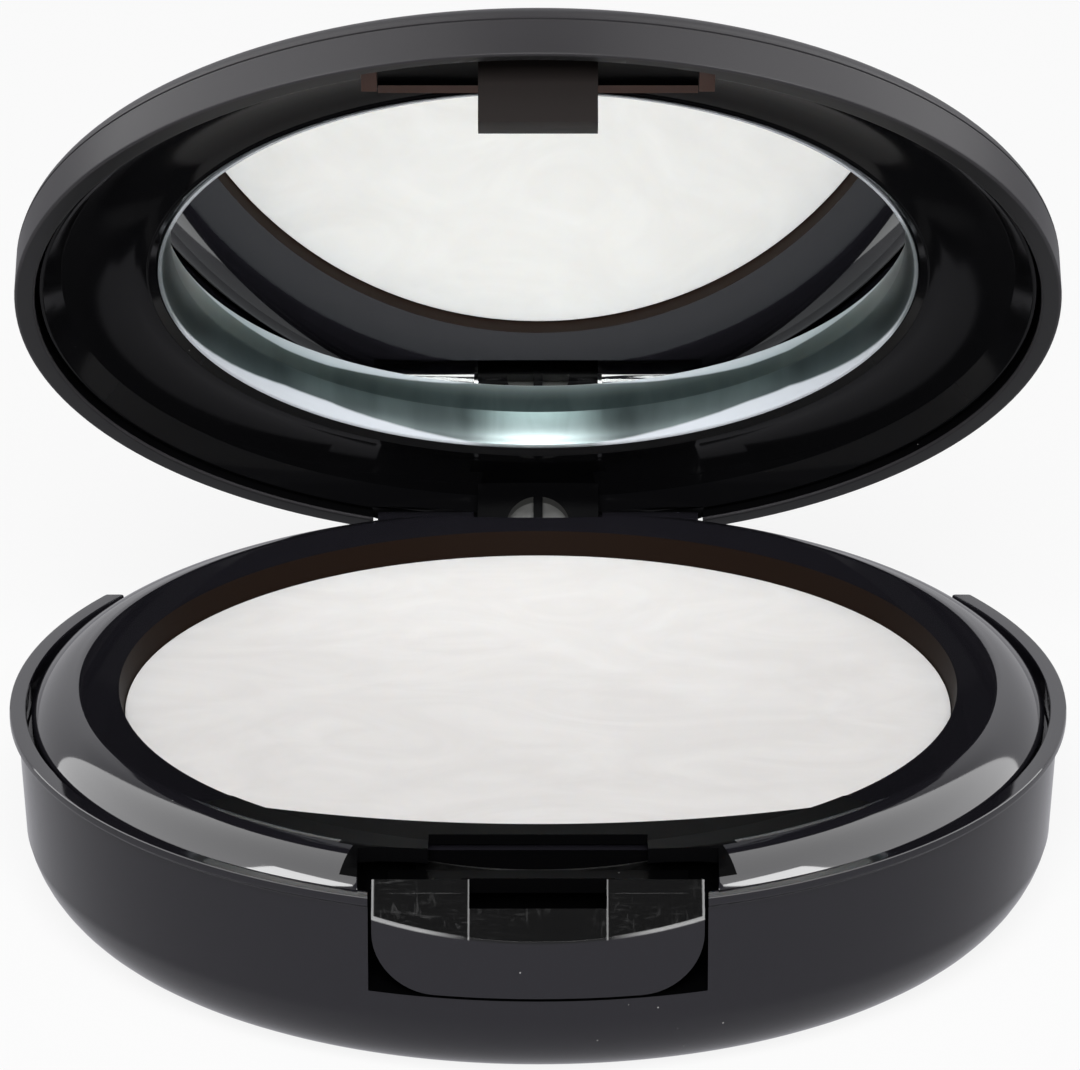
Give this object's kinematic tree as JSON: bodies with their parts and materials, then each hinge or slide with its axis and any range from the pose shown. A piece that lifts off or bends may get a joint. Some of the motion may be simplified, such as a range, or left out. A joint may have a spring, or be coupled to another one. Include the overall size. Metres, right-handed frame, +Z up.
{
  "type": "mirrored compact",
  "caption": "Round black compact with a hinged lid, bevelled mirror, push-button latch and a flat-fronted pan of white cream",
  "frame": {"origin": "centre of the flat foot under the bowl, on the surface that it stands on", "axes": "+Z up, -Y to the front with the push button, +Y to the back with the hinge, +X to the right"},
  "size_m": [0.077, 0.0786, 0.0711],
  "materials": {
    "case": "glossy moulded plastic",
    "holder": "glossy moulded plastic",
    "lid": "satin moulded plastic",
    "liner": "glossy moulded plastic",
    "button": "satin moulded plastic with fine scratches",
    "mirror": "silvered glass with a ground bevel",
    "ring": "bright plated ring",
    "cream": "cast cream with a soft sheen",
    "pan": "pressed tinplate",
    "pad": "self-adhesive foam",
    "steel": "drawn spring steel"
  },
  "bodies": {
    "base": {"base_bowl": "case", "pan_tray": "holder", "pan_pad": "pad", "cream_pan": "pan", "cream_fill": "cream", "button_spring": "steel", "hinge_pin": "steel"},
    "button": {"push_button": "button"},
    "lid": {"lid_shell": "lid", "lid_frame": "liner", "mirror_pad": "pad", "mirror_glass": "mirror", "mirror_ring": "ring"}
  },
  "joints": [
    {"name": "lid_hinge", "type": "hinge", "parent": "base", "child": "lid", "pos_m": [0, 0.0352, 0.0138], "axis": [-1, 0, 0], "range_deg": [-47.5, 52]},
    {"name": "button_press", "type": "slide", "parent": "base", "child": "button", "axis": [0, 1, 0], "range_m": [0, 0.0011], "stiffness_N_per_m": 2500, "springref_m": -0.0006, "deforming": ["button_spring"]}
  ]
}
